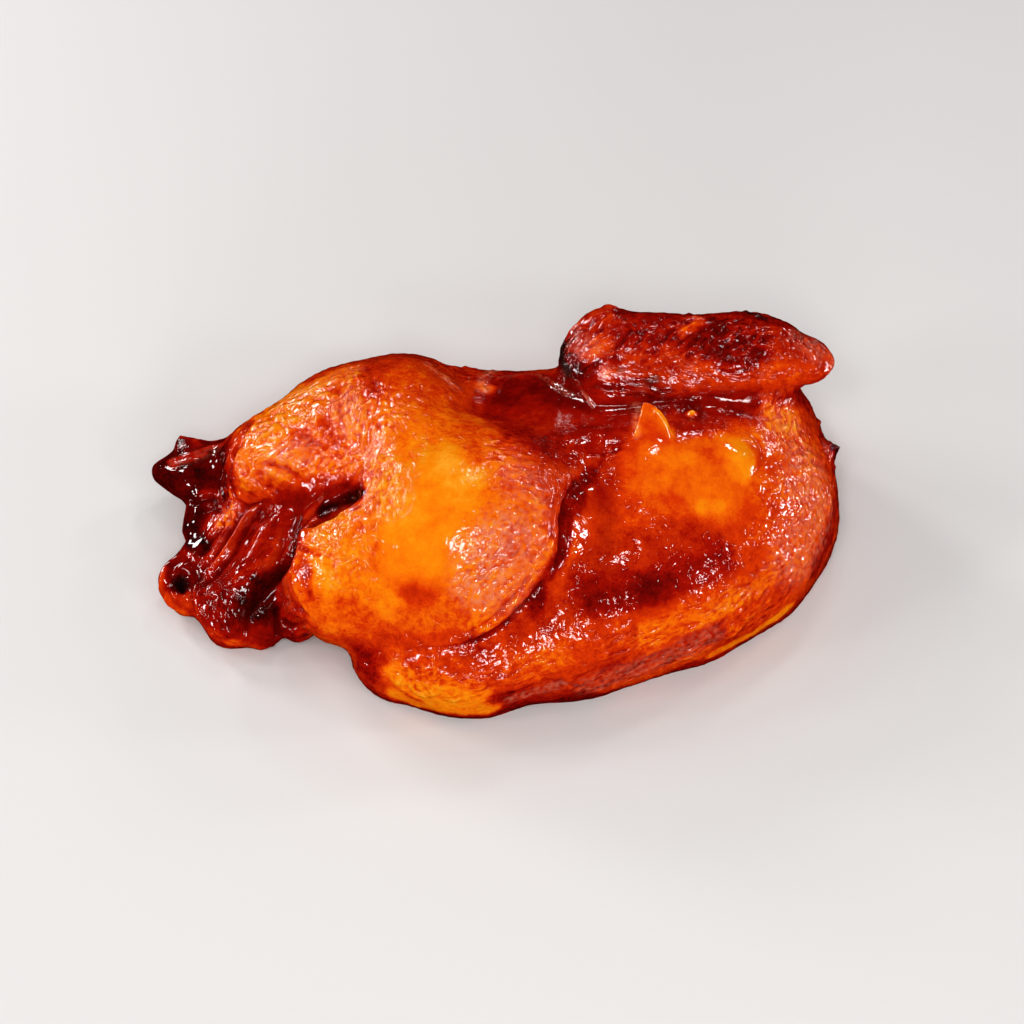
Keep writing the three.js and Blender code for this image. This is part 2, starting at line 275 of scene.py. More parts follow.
BROWNED_AND_SHADED = [
    # breast
    (0.40, 1.0, 34, (640, 500, 760, 480)),
    (0.48, 0.9, 16, (615, 540, 700, 545, 760, 545)),
    (0.58, 0.8, 8, (640, 548, 700, 540, 735, 552)),
    (0.46, 0.8, 10, (615, 470, 620, 500)),
    (0.34, 0.9, 9, (650, 470, 680, 460, 700, 480)),
    (0.32, 0.9, 9, (730, 480, 716, 500)),
    (0.44, 0.7, 4, (766, 446, 768, 464, 758, 484)),
    (0.20, 2.4, 4.6, (741, 452, 741, 468)),
    (0.28, 0.8, 5.0, (722, 446)),
    (0.21, 1.2, 2.6, (703, 507, 720, 506)),
    (0.24, 0.8, 3.0, (672, 463, 690, 460)),
    (0.26, 0.8, 7, (762, 402, 790, 420)),
    (0.42, 0.9, 10, (800, 460, 815, 500, 805, 550)),
    (0.46, 0.9, 9, (780, 560, 750, 545)),
    (0.70, 1.0, 9, (596, 588, 640, 585, 690, 570, 715, 560)),
    (0.80, 0.8, 6, (600, 605, 640, 594, 664, 588)),
    (0.60, 0.7, 7, (600, 555, 680, 545)),
    (0.47, 0.9, 7, (530, 662, 590, 640, 660, 625, 760, 590)),
    (0.34, 0.9, 4.5, (545, 655, 560, 655)),
    (0.36, 0.9, 4.5, (650, 634, 690, 624, 765, 586)),
    (0.66, 0.9, 5, (592, 684, 640, 668, 690, 646, 715, 634)),
    (0.52, 0.8, 4, (740, 620, 780, 592)),
    (0.44, 0.8, 2.5, (600, 692, 660, 672, 700, 656)),
    (0.18, 0.9, 2.4, (712, 655, 745, 638, 775, 619, 790, 607)),
    (0.72, 0.9, 5, (800, 396, 822, 418, 833, 442, 838, 470, 837, 500, 830, 535, 816, 566)),
    (0.97, 1.0, 4, (839, 450)),
    # keel
    (0.64, 1.0, 9, (375, 655, 430, 660, 480, 655)),
    (0.76, 0.9, 6, (362, 645, 366, 668)),
    (0.46, 0.8, 6, (430, 665, 480, 668, 510, 655)),
    (0.58, 0.8, 3, (456, 670, 466, 672)),
    (0.52, 0.9, 2.5, (460, 663)),
    (0.48, 0.8, 6, (440, 685, 500, 688)),
    (0.28, 1.0, 6.0, (396, 674, 420, 690, 450, 699, 484, 702)),
    (0.24, 1.0, 3.5, (396, 694, 425, 706, 460, 711, 492, 709)),
    (0.20, 0.8, 2.6, (402, 684, 430, 700, 485, 708)),
    (0.72, 0.9, 4, (500, 697, 508, 694)),
    (0.74, 0.9, 3, (526, 689)),
    (0.70, 0.9, 3, (558, 682)),
    # back and armpit; the armpit's dark red under the wing is partly painted shade
    (0.70, 1.0, 20, (500, 395, 550, 400, 600, 415)),
    (0.80, 0.9, 7, (502, 389, 512, 392)),
    (0.80, 0.9, 8, (540, 388, 572, 395)),
    (0.64, 0.9, 9, (545, 418, 560, 425)),
    (0.72, 0.9, 10, (510, 430, 560, 450, 590, 440)),
    (0.62, 0.9, 7, (480, 372, 440, 368)),
    (0.50, 0.9, 12, (508, 468, 535, 500)),
    (0.40, 0.8, 6, (520, 500, 540, 520)),
    (0.62, 0.8, 8, (600, 470, 602, 500)),
    # the armpit under the wing: dark red glaze with painted shade
    (0.74, 1.0, 9, (640, 396, 690, 402, 740, 400)),
    (0.70, 0.9, 8, (615, 425, 620, 410)),
    (0.74, 0.9, 6, (685, 425, 715, 418)),
    (0.36, 0.9, 3, (480, 386, 486, 389)),
    # flap and pearl; the pale edges of the flap are painted highlight
    (0.40, 1.0, 6, (642, 412, 645, 430, 662, 432)),
    (0.22, 0.9, 1.2, (636, 406, 637, 434)),
    (0.24, 0.9, 1.2, (655, 410, 668, 424, 673, 434)),
    (0.14, 1.0, 1.9, (692, 414)),
    # thigh
    (0.34, 1.0, 26, (400, 430, 440, 500, 420, 560)),
    (0.27, 1.0, 22, (420, 470, 430, 540)),
    (0.19, 0.9, 16, (440, 468, 415, 525)),
    (0.10, 0.9, 7, (448, 462, 462, 478)),
    (0.17, 0.8, 8, (405, 520, 420, 548)),
    (0.44, 0.9, 11, (400, 378, 450, 388)),
    (0.36, 0.8, 8, (440, 412, 468, 425)),
    (0.42, 0.9, 7, (478, 430, 482, 450)),
    (0.40, 0.9, 10, (345, 615, 400, 632, 470, 622)),
    (0.32, 0.8, 8, (490, 600, 530, 560, 545, 520)),
    (0.40, 0.8, 8, (385, 602, 440, 605)),
    (0.50, 0.9, 3.0, (408, 592, 428, 597)),
    (0.22, 0.8, 5, (374, 584, 388, 610)),
    (0.54, 0.7, 1.6, (352, 602)),
    (0.56, 0.8, 3, (380, 634, 420, 642, 470, 634)),
    (0.56, 0.9, 3.5, (566, 478, 556, 500, 554, 530)),
    # front lobe of the leg
    (0.26, 0.9, 12, (330, 530, 340, 570)),
    (0.42, 0.9, 4, (297, 552, 296, 575, 300, 596)),
    (0.36, 0.9, 6, (312, 612, 335, 625)),
    (0.14, 0.8, 4, (322, 574, 330, 586)),
    (0.48, 0.8, 3, (305, 530, 297, 548)),
    # hip
    (0.34, 1.0, 24, (280, 420, 320, 430)),
    (0.26, 0.9, 10, (262, 432, 290, 405)),
    (0.28, 0.9, 8, (318, 390, 345, 375)),
    (0.58, 0.9, 4, (370, 368, 376, 390)),
    (0.50, 0.9, 3, (325, 424, 334, 442)),
    (0.50, 0.8, 3, (296, 434, 316, 443)),
    (0.42, 0.8, 4, (338, 388, 342, 415)),
    (0.36, 0.8, 6, (310, 468, 345, 470)),
    # the underside of the hip over the slit: red skin, darker in part as painted shade
    (0.60, 0.9, 4, (296, 490, 325, 486, 345, 484)),
    (0.66, 0.9, 4, (285, 500, 318, 500)),
    (0.32, 0.9, 5, (246, 472, 254, 490)),
    (0.38, 0.8, 4, (272, 474, 290, 480)),
    (0.66, 0.9, 2.5, (248, 424, 238, 440, 233, 455)),
    (0.40, 0.9, 2.0, (240, 436, 228, 455, 222, 474, 222, 492)),
    (0.72, 0.9, 1.8, (233, 466, 232, 482, 236, 495)),
    # slit: painted shade, near black in the opening between the lobes
    (0.76, 1.0, 4, (354, 490, 330, 495, 305, 506)),
    (0.95, 1.0, 2.5, (359, 495, 340, 503, 320, 512)),
    # shank
    (0.72, 1.0, 15, (270, 530, 230, 560, 220, 600)),
    (0.62, 0.9, 3, (250, 518, 226, 548, 205, 570)),
    (0.58, 0.8, 1.2, (256, 508, 239, 528, 219, 559, 204, 575)),
    (0.58, 0.8, 3, (284, 536, 270, 559, 252, 578)),
    (0.80, 0.9, 8, (215, 600, 230, 620)),
    # the deep fold right of the broad sheet, down to its foot: painted shade
    (0.86, 0.9, 4, (297, 528, 291, 554, 280, 573)),
    (0.92, 1.0, 6, (262, 590, 252, 612, 268, 612)),
    (0.82, 0.9, 6, (266, 635, 285, 635)),
    (0.66, 0.9, 3, (288, 612, 302, 613)),
    (0.36, 0.9, 4.5, (228, 498, 226, 518)),
    (0.60, 0.9, 4, (207, 508, 204, 522)),
    (0.92, 1.0, 5, (194, 510, 192, 530, 197, 545)),
    (0.82, 1.0, 8, (180, 568, 188, 575)),
    (0.97, 1.0, 3, (181, 583)),
    (0.56, 0.9, 1.6, (163, 570, 160, 590, 168, 606)),
    (0.46, 0.9, 1.6, (174, 611, 188, 617)),
    (0.60, 0.9, 2, (205, 628, 222, 640)),
    (0.34, 0.9, 2, (230, 643, 236, 644)),
    # groove: painted shade, dark red down the groove between thigh and breast
    (0.80, 1.0, 3.0, (592, 475, 579, 484, 572, 494, 567, 512, 565, 535, 561, 556, 549, 574)),
    (0.74, 0.9, 1.8, (547, 574, 531, 597, 513, 615, 494, 631, 466, 642)),
    (0.78, 1.0, 4.0, (580, 492, 574, 506)),
    (0.80, 0.9, 3.0, (540, 588, 535, 612)),
    # tail
    (0.90, 1.0, 15, (165, 475, 205, 470)),
    (0.66, 0.9, 1.4, (170, 462, 192, 455, 208, 448, 223, 444)),
    (0.68, 0.9, 1.0, (170, 467, 182, 462, 206, 454)),
    (0.70, 0.9, 2, (203, 494, 218, 493)),
    # wing
    (0.78, 1.0, 18, (600, 350, 690, 350, 780, 350)),
    (0.68, 0.9, 8, (590, 335, 606, 330)),
    (0.48, 0.9, 4, (588, 352, 604, 345)),
    (0.42, 0.9, 4, (608, 374, 622, 378)),
    (0.46, 0.9, 2.6, (684, 332, 700, 323)),
    (0.58, 0.8, 8, (640, 366, 690, 370)),
    (0.50, 0.8, 6, (700, 378, 745, 376)),
    (0.50, 0.9, 7, (775, 370, 808, 368)),
    (0.84, 0.9, 7, (712, 335, 735, 350, 758, 345)),
    (0.66, 0.8, 6, (775, 335, 798, 342)),
    (0.80, 0.9, 3, (620, 311, 680, 309, 740, 311, 765, 319, 800, 325, 826, 338)),
    (0.88, 0.9, 5, (563, 350, 568, 368, 580, 380)),
    (0.74, 0.9, 6, (595, 393, 640, 394)),
    (0.54, 0.8, 4, (834, 352, 834, 368)),
]

# Black scorching, as a strength, a radius and the places.
SCORCHED = [
    (0.6, 1.5, (648, 382, 656, 379)),
    (0.5, 1.1, (621, 370)),
    (0.8, 1.2, (744, 310, 756, 314, 766, 318)),
    (0.9, 1.8, (560, 345, 562, 362, 568, 372)),
    (0.5, 1.4, (214, 509)),
    (0.6, 1.0, (822, 420, 830, 436)),
    (0.9, 2.0, (181, 583)),
    (0.8, 1.6, (181, 441)),
    (0.6, 1.0, (306, 635)),
]

# Pale pink over the skin: mostly painted sheen and painted highlights, in places dried juices,
# as a strength, a radius and the places.
FILM_AND_SHEEN = [
    (0.6, 12, (808, 478, 814, 515, 800, 550)),
    (0.2, 7, (790, 430, 800, 450)),
    (0.8, 9, (508, 535, 490, 560, 480, 582)),
    (0.4, 6, (530, 545, 505, 600)),
    (0.4, 5, (590, 686, 650, 664, 710, 638)),
    (0.6, 2, (510, 700, 535, 692, 562, 684)),
    (0.3, 5, (290, 398, 330, 380, 350, 372)),
    (0.5, 5, (275, 460, 305, 450)),
    (0.4, 5, (345, 400, 350, 425)),
    (0.6, 2.0, (428, 364, 444, 377, 456, 388)),
    (0.6, 2.0, (496, 366, 484, 380, 484, 390)),
    (0.3, 1.0, (500, 378, 535, 374, 557, 387, 574, 397)),
    # painted highlight: a thin white streak on the back
    (0.7, 0.5, (583, 392, 594, 407)),
    (0.3, 4, (575, 340, 590, 350)),
    (0.4, 4, (800, 338, 816, 350)),
    (0.3, 4, (832, 350, 836, 366)),
    (0.2, 2.2, (172, 462, 192, 457, 216, 449)),
    # painted highlight along the left edge of the flap
    (0.8, 1.2, (636, 406, 637, 436)),
    (0.4, 7, (520, 478, 530, 505)),
]


# ---- Settings ----


def length(name, description, value, least=0.0):
    """A length that is set in metres and given here in millimetres."""
    return FloatProperty(
        name=name, description=description, default=value * MM, min=least * MM, unit="LENGTH", precision=5
    )


def share(name, description, value, most=1.0):
    return FloatProperty(name=name, description=description, default=value, min=0.0, max=most)


def colour(name, description, value):
    return FloatVectorProperty(
        name=name, description=description, default=value, subtype="COLOR", size=3, min=0.0, max=1.0
    )


class SkinSettings(bpy.types.PropertyGroup):
    """Sizes of the skin's relief."""

    grain: length("Grain", "Side of one face of the skin before it is thinned out", 0.62, least=0.4)
    faces: IntProperty(name="Faces", description="Triangles left in the skin", default=194000)
    rounding: IntProperty(
        name="Rounding", description="Passes that round off the flat faces of the solid", default=20, min=0
    )
    stroke_depth: share("Stroke depth", "Share of each stroke's own height", 1.0, most=2.0)
    wrinkle_height: length("Wrinkle height", "Height of the small wrinkles all over the skin", 0.16)
    wrinkle_span: length("Wrinkle span", "From one small wrinkle to the next", 2.6, least=0.5)
    comb_depth: share("Comb depth", "Share of the height of the wrinkles that run one way", 1.6, most=2.0)
    pebble_depth: share("Pebble depth", "Share of the height of the pebbles", 1.0, most=2.0)
    unevenness: length("Unevenness", "Slow rise and fall of all the skin", 0.35)


class ColourSettings(bpy.types.PropertyGroup):
    """Colours of the skin, from least to most roasted."""

    fat: colour("Fat", "Pale yellow fat under thin skin", (1.0, 0.42, 0.035))
    yellow: colour("Yellow", "Lightly roasted skin", (0.96, 0.29, 0.006))
    amber: colour("Amber", "Golden skin", (0.92, 0.17, 0.004))
    orange: colour("Orange", "Well roasted skin", (0.72, 0.055, 0.003))
    red: colour("Red", "Glazed red skin", (0.40, 0.009, 0.002))
    crimson: colour("Crimson", "Dark glaze", (0.19, 0.003, 0.0015))
    mahogany: colour("Mahogany", "Skin close to burning", (0.06, 0.0015, 0.001))
    soot: colour("Soot", "Scorched black", (0.012, 0.004, 0.003))
    # pale pink of the painted sheen and painted highlights, and of dried juices in places
    film: colour("Film", "Dried pinkish film", (0.82, 0.32, 0.20))
    meat: colour("Meat", "Flesh on the cut side", (0.60, 0.36, 0.20))


class StageSettings(bpy.types.PropertyGroup):
    """Camera, lights and floor."""

    tilt: FloatProperty(
        name="Camera tilt", description="Height of the camera above the horizon",
        default=math.radians(52), subtype="ANGLE",
    )
    reach: length("Camera reach", "From the camera to the place that it looks at", 995.56)
    aim: FloatVectorProperty(
        name="Aim", description="Place on the floor that the camera looks at",
        default=(6.23 * MM, 22.15 * MM, 0.0), subtype="TRANSLATION", size=3, precision=5,
    )
    lens: FloatProperty(name="Lens", description="Focal length", default=100.0, unit="CAMERA")
    sensor: FloatProperty(name="Sensor", description="Width of the sensor", default=36.0, unit="CAMERA")
    floor: colour("Floor", "Colour of the floor", (0.77, 0.75, 0.735))
    air: colour("Air", "Light that comes from all round", (0.95, 0.97, 1.0))
    air_strength: share("Air strength", "Strength of the light from all round", 0.10, most=10.0)


# ---- Camera's view ----


class Eye:
    """Where the camera stands, and which way it sees each place in its frame."""

    def __init__(self, stage):
        self.back = np.array((0.0, -math.cos(stage.tilt), math.sin(stage.tilt)))
        self.up = np.array((0.0, math.sin(stage.tilt), math.cos(stage.tilt)))
        self.right = np.array((1.0, 0.0, 0.0))
        self.place = np.array(stage.aim) + self.back * stage.reach
        self.focal = FRAME_SIDE * stage.lens / stage.sensor

    def ray(self, across, down):
        """The way from the camera to a place in its frame."""
        aside = self.right * (across - FRAME_MIDDLE) / self.focal
        return aside - self.up * (down - FRAME_MIDDLE) / self.focal - self.back

    def seen(self, points):
        """Where points show in the frame, across and down."""
        to = points - self.place
        far = -(to @ self.back)
        across = FRAME_MIDDLE + self.focal * (to @ self.right) / far
        down = FRAME_MIDDLE - self.focal * (to @ self.up) / far
        return np.stack((across, down), 1)


# ---- Skin ----

# Steps of a curve from one of its places to the next. A stroke of one or two places has no faded ends.
CURVE_STEPS = 8
SHORT_STROKE = CURVE_STEPS + 1


def smooth(value, low, high):
    """A soft step, from 0 at low to 1 at high."""
    t = np.clip((value - low) / (high - low), 0.0, 1.0)
    return t * t * (3 - 2 * t)


def bell(away, width):
    """1 in the middle of a line, fading to almost nothing two widths away."""
    return np.exp(-((away / width) ** 2))


def taper(along, ends=0.18):
    """1 along most of a stroke, fading to 0 at both its ends."""
    return smooth(along, 0, ends) * (1 - smooth(along, 1 - ends, 1))


def curve(places):
    """A smooth line through the places, which come as one run of numbers, across and down in turn."""
    points = np.reshape(places, (-1, 2)).astype(float)
    if len(points) == 1:
        return points
    ends = np.vstack((2 * points[0] - points[1], points, 2 * points[-1] - points[-2]))
    line = []
    for a, b, c, d in zip(ends, ends[1:], ends[2:], ends[3:]):
        for t in np.arange(CURVE_STEPS) / CURVE_STEPS:
            line.append(0.5 * (2 * b + (c - a) * t + (2 * a - 5 * b + 4 * c - d) * t**2
                               + (3 * b - a - 3 * c + d) * t**3))
    line.append(points[-1])
    return np.array(line)


def read(items, field, kind=float, each=1):
    """One field of all the items, which holds so many numbers for each."""
    values = np.empty(len(items) * each, kind)
    items.foreach_get(field, values)
    return values if each == 1 else values.reshape(-1, each)


class Skin:
    """The points of the skin, and what is done to them."""

    # How far inside and outside its radius a region fades, as a share of the radius.
    FADE = 0.45

    def __init__(self, mesh, eye):
        self.mesh = mesh
        self.eye = eye
        self.points = read(mesh.vertices, "co", each=3)
        self.pair_neighbours()
        faces = [tuple(face.vertices) for face in mesh.polygons]
        self.tree = BVHTree.FromPolygons([tuple(point) for point in self.points], faces)
        self.whole = self.points.copy()
        self.seen = eye.seen(self.whole)

    def pair_neighbours(self):
        """Pairs each point with its neighbours. On the rim of the cut, only those on the rim count."""
        edges = read(self.mesh.edges, "vertices", int, each=2)
        faces_of = np.bincount(read(self.mesh.loops, "edge_index", int), minlength=len(edges))
        rim = edges[faces_of == 1]
        inner = edges[faces_of != 1]
        self.rim = np.zeros(len(self.points), bool)
        self.rim[rim.ravel()] = True
        one, two = np.vstack((inner, inner[:, ::-1])).T
        keep = ~self.rim[one]
        rim_one, rim_two = np.vstack((rim, rim[:, ::-1])).T
        self.one = np.concatenate((one[keep], rim_one))
        self.two = np.concatenate((two[keep], rim_two))
        self.degree = np.maximum(np.bincount(self.one, minlength=len(self.points)), 1)

    def around(self, values):
        """The mean of each point's neighbours."""
        if values.ndim == 1:
            return np.bincount(self.one, values[self.two], len(values)) / self.degree
        return np.stack([self.around(values[:, k]) for k in range(values.shape[1])], 1)

    def ease(self, values, passes, part=0.5):
        """Moves each value part of the way to its neighbours' mean, so many times over."""
        for _ in range(passes):
            values = values + (self.around(values) - values) * part
        return values

    def store(self):
        """Writes the points to the mesh, with the rim on the plane of the cut and nothing below it."""
        self.points[self.rim, 2] = 0.0
        self.points[:, 2] = np.maximum(self.points[:, 2], 0.0)
        self.mesh.vertices.foreach_set("co", self.points.ravel())
        self.mesh.update()

    def normals(self, passes=0):
        """Which way the skin faces at each point, eased over some passes."""
        self.store()
        found = self.ease(read(self.mesh.vertex_normals, "vector", each=3), passes)
        return found / np.maximum(np.linalg.norm(found, axis=1), TINY)[:, None]

    def push(self, normals, shift):
        """Moves the points out of the skin, or into it, by each one's shift."""
        self.points += normals * shift[:, None]

    def lay(self, places):
        """The line through the places, as drawn in the frame and as it lies on the skin or its outline."""
        drawn = curve(places)
        laid = []
        for place in drawn:
            hit = self.tree.ray_cast(Vector(self.eye.place), Vector(self.eye.ray(*place)))[0]
            if hit is None:
                hit = self.whole[np.argmin(np.linalg.norm(self.seen - place, axis=1))]
            laid.append(hit)
        return drawn, np.array(laid)

    def near(self, places, reach):
        """Points near a stroke, how far each is from it and along it, from 0 to 1, and the drawn stroke."""
        drawn, line = self.lay(places)
        low, high = line.min(0) - reach, line.max(0) + reach
        found = np.flatnonzero(np.all((self.whole > low) & (self.whole < high), 1))
        points = self.whole[found]
        if len(line) == 1:
            return found, np.linalg.norm(points - line[0], axis=1), np.full(len(found), 0.5), drawn
        least = np.full(len(found), np.inf)
        along = np.zeros(len(found))
        for k, (a, b) in enumerate(zip(line, line[1:])):
            step = b - a
            t = np.clip((points - a) @ step / max(step @ step, TINY), 0, 1)
            away = np.linalg.norm(points - a - t[:, None] * step, axis=1)
            closer = away < least
            least[closer] = away[closer]
            along[closer] = (k + t[closer]) / (len(line) - 1)
        close = least < reach
        return found[close], least[close], along[close], drawn

    def region(self, radius, places):
        """The points of a region of relief, and how much of it there is at each, from 0 to 1."""
        found, away, *_ = self.near(places, radius * (1 + self.FADE) * MM)
        return found, 1 - smooth(away, 0.5 * radius * MM, 1.4 * radius * MM)

    def amount(self, rows):
        """How much of the rows' regions there is at each point, from 0 to 1."""
        total = np.zeros(len(self.points))
        for strength, radius, places in rows:
            found, away, *_ = self.near(places, radius * (1 + self.FADE) * MM)
            part = 1 - smooth(away, radius * (1 - self.FADE) * MM, radius * (1 + self.FADE) * MM)
            total[found] = np.maximum(total[found], strength * part)
        return total


def grain(points, span, seed, octaves=1):
    """Even noise from -1 to 1 with the given distance from one rise to the next, in metres."""
    places = [Vector(place) for place in points / span + seed * 7.31]
    if octaves == 1:
        return np.array([noise.noise(place) for place in places])
    return np.array([noise.fractal(place, 0.7, 2.0, octaves) for place in places])


def warped(points, span, start, amount):
    """The points, each moved a little by slow noise that starts at the given place."""
    return points + amount * np.array([noise.noise_vector(Vector(place)) for place in points / span + start])


def press_laps(skin, depth):
    """Raises the skin on one side of each lap and sinks it on the other."""
    rise, rise_width = 0.55, 2.6
    sink, sink_width = 0.8, 1.1
    normals = skin.normals(6)
    shift = np.zeros(len(skin.points))
    for height, width, places in LAPS:
        found, away, along, drawn = skin.near(places, 6 * width * MM)
        ways = np.gradient(drawn, axis=0)
        at = np.clip(np.round(along * (len(drawn) - 1)).astype(int), 0, len(drawn) - 1)
        off = skin.seen[found] - drawn[at]
        left = ways[at][:, 0] * off[:, 1] - ways[at][:, 1] * off[:, 0] < 0
        over = rise * bell(away, rise_width * width * MM)
        under = sink * bell(away, sink_width * width * MM)
        shift[found] += np.where(left, over, -under) * height * MM * taper(along)
    skin.push(normals, shift * depth)


def press_lines(skin, depth):
    """Presses lines into the skin, each with a slight lip to both sides, and raises ridges."""
    lip_height, lip_place = 0.22, 2.2
    normals = skin.normals(4)
    shift = np.zeros(len(skin.points))
    for height, width, places in LINES:
        found, away, along, drawn = skin.near(places, 4 * width * MM)
        lips = bell(away - lip_place * width * MM, width * MM)
        fade = 1.0 if len(drawn) <= SHORT_STROKE else taper(along)
        shift[found] += (bell(away, width * MM) - lip_height * lips) * height * MM * fade
    skin.push(normals, shift * depth)


def comb(skin, found, span, stretch, way):
    """Where the found points lie on a pattern that runs one way across the frame, one unit to a wrinkle."""
    bent = warped(skin.whole[found], 3.5 * span, start=0, amount=0.6 * span)
    across, up, back = bent @ skin.eye.right, bent @ skin.eye.up, bent @ skin.eye.back
    cos, sin = math.cos(math.radians(way)), math.sin(math.radians(way))
    along = (across * cos - up * sin) / stretch
    beside = across * sin + up * cos
    return np.stack((along, beside, back), 1) / span


# Ridges of the mesh for each fold of the finish, as the mesh is coarser.
RIDGE_PACE = 0.6


def ridges(places, seed):
    """Rounded ridges with narrow creases between them, from about -0.5 to 0.5, one unit apart."""
    return 2.2 * np.abs(grain(places, 1.0, seed)) - 0.5


def pebbles(points, span):
    """Low domes from about -0.5 to 0.5, packed side by side."""
    cells = [noise.voronoi(Vector(place), distance_metric="DISTANCE_SQUARED") for place in points / span]
    return 0.5 - 2.0 * np.array([distances[0] for distances, _ in cells])


def raise_relief(skin, shape):
    """Wrinkles, pebbles and slow unevenness, and where the finish puts finer ones of the same kind."""
    normals = skin.normals(4)
    at = skin.whole
    taut = skin.amount(TAUT)
    shift = (1 - 0.7 * taut) * shape.unevenness * grain(at, 11 * MM, 1, octaves=3)
    bent = warped(at, 5 * MM, start=6.34, amount=1.2 * MM)
    shift += (1 - taut) * shape.wrinkle_height * ridges(bent / shape.wrinkle_span, 3)
    most = np.zeros(len(at))
    next_most = np.zeros(len(at))
    combed = np.zeros((len(at), 3))
    for seed, (height, span, stretch, way, radius, places) in enumerate(COMBED):
        found, part = skin.region(radius, places)
        pattern = comb(skin, found, span * MM, stretch, way)
        shift[found] += height * MM * shape.comb_depth * part * ridges(pattern * RIDGE_PACE, seed)
        # Where regions overlap, the finish shows the stronger one, less the other.
        part *= 2 * height
        fresh = part > most[found]
        next_most[found] = np.where(fresh, most[found], np.maximum(next_most[found], part))
        most[found[fresh]] = part[fresh]
        combed[found[fresh]] = pattern[fresh]
    pebbled = np.zeros(len(at))
    for height, span, radius, places in PEBBLED:
        found, part = skin.region(radius, places)
        fresh = part > pebbled[found]
        found, part = found[fresh], part[fresh]
        shift[found] += height * MM * shape.pebble_depth * part * pebbles(at[found], span * MM)
        pebbled[found] = part
    skin.push(normals, shift)
    return {"wrinkled": most - next_most, "pebbled": pebbled, "taut": taut, "combed": combed}


# Fine and broad hollows: the passes that smooth them out, the depth that counts in full, and its weight.
HOLLOWS = [(10, 0.35, 0.5), (60, 1.1, 0.6)]


def find_hollows(skin):
    """How far each point lies below, or above, the skin round it: -1 to 1, above 0 in hollows."""
    normals = skin.normals()
    total = np.zeros(len(skin.points))
    for passes, full_depth, weight in HOLLOWS:
        depth = ((skin.ease(skin.points, passes) - skin.points) * normals).sum(1)
        total += weight * (depth / (full_depth * MM))
    return np.clip(total, -1, 1)


def brown(skin):
    """How far the skin has browned at each point, from 0 to 1, with painted shade in slit, groove and folds.
    """
    plain, drift = 0.56, 0.14
    foot, foot_height = 0.16, 12 * MM
    full_to, gone_at = 0.45, 1.35
    at = skin.whole
    slow = grain(at, 26 * MM, 11, octaves=3)
    tone = plain + drift * slow + foot * smooth(foot_height - at[:, 2], 0, foot_height)
    ragged = 0.35 * grain(at, 7 * MM, 12, octaves=3)
    for value, strength, radius, places in BROWNED_AND_SHADED:
        found, away, *_ = skin.near(places, radius * MM * 1.7)
        edge = away / (radius * MM) + ragged[found]
        part = np.minimum(strength * (1 - smooth(edge, full_to, gone_at)), 1.0)
        tone[found] += (value - tone[found]) * part
    return tone


# ---- Materials ----


class Value:
    """A socket of a material, worked on with the signs of arithmetic."""

    def __init__(self, paint, socket):
        self.paint = paint
        self.socket = socket

    def maths(self, operation, *others, clamp=False):
        settings = {"operation": operation, "use_clamp": clamp}
        return self.paint.node("ShaderNodeMath", settings, dict(enumerate(others)))

    def __add__(self, other):
        return self.maths("ADD", self, other)

    def __radd__(self, other):
        return self.maths("ADD", other, self)

    def __sub__(self, other):
        return self.maths("SUBTRACT", self, other)

    def __rsub__(self, other):
        return self.maths("SUBTRACT", other, self)

    def __mul__(self, other):
        return self.maths("MULTIPLY", self, other)

    def __rmul__(self, other):
        return self.maths("MULTIPLY", other, self)

    def clipped(self):
        return self.maths("ADD", self, 0.0, clamp=True)


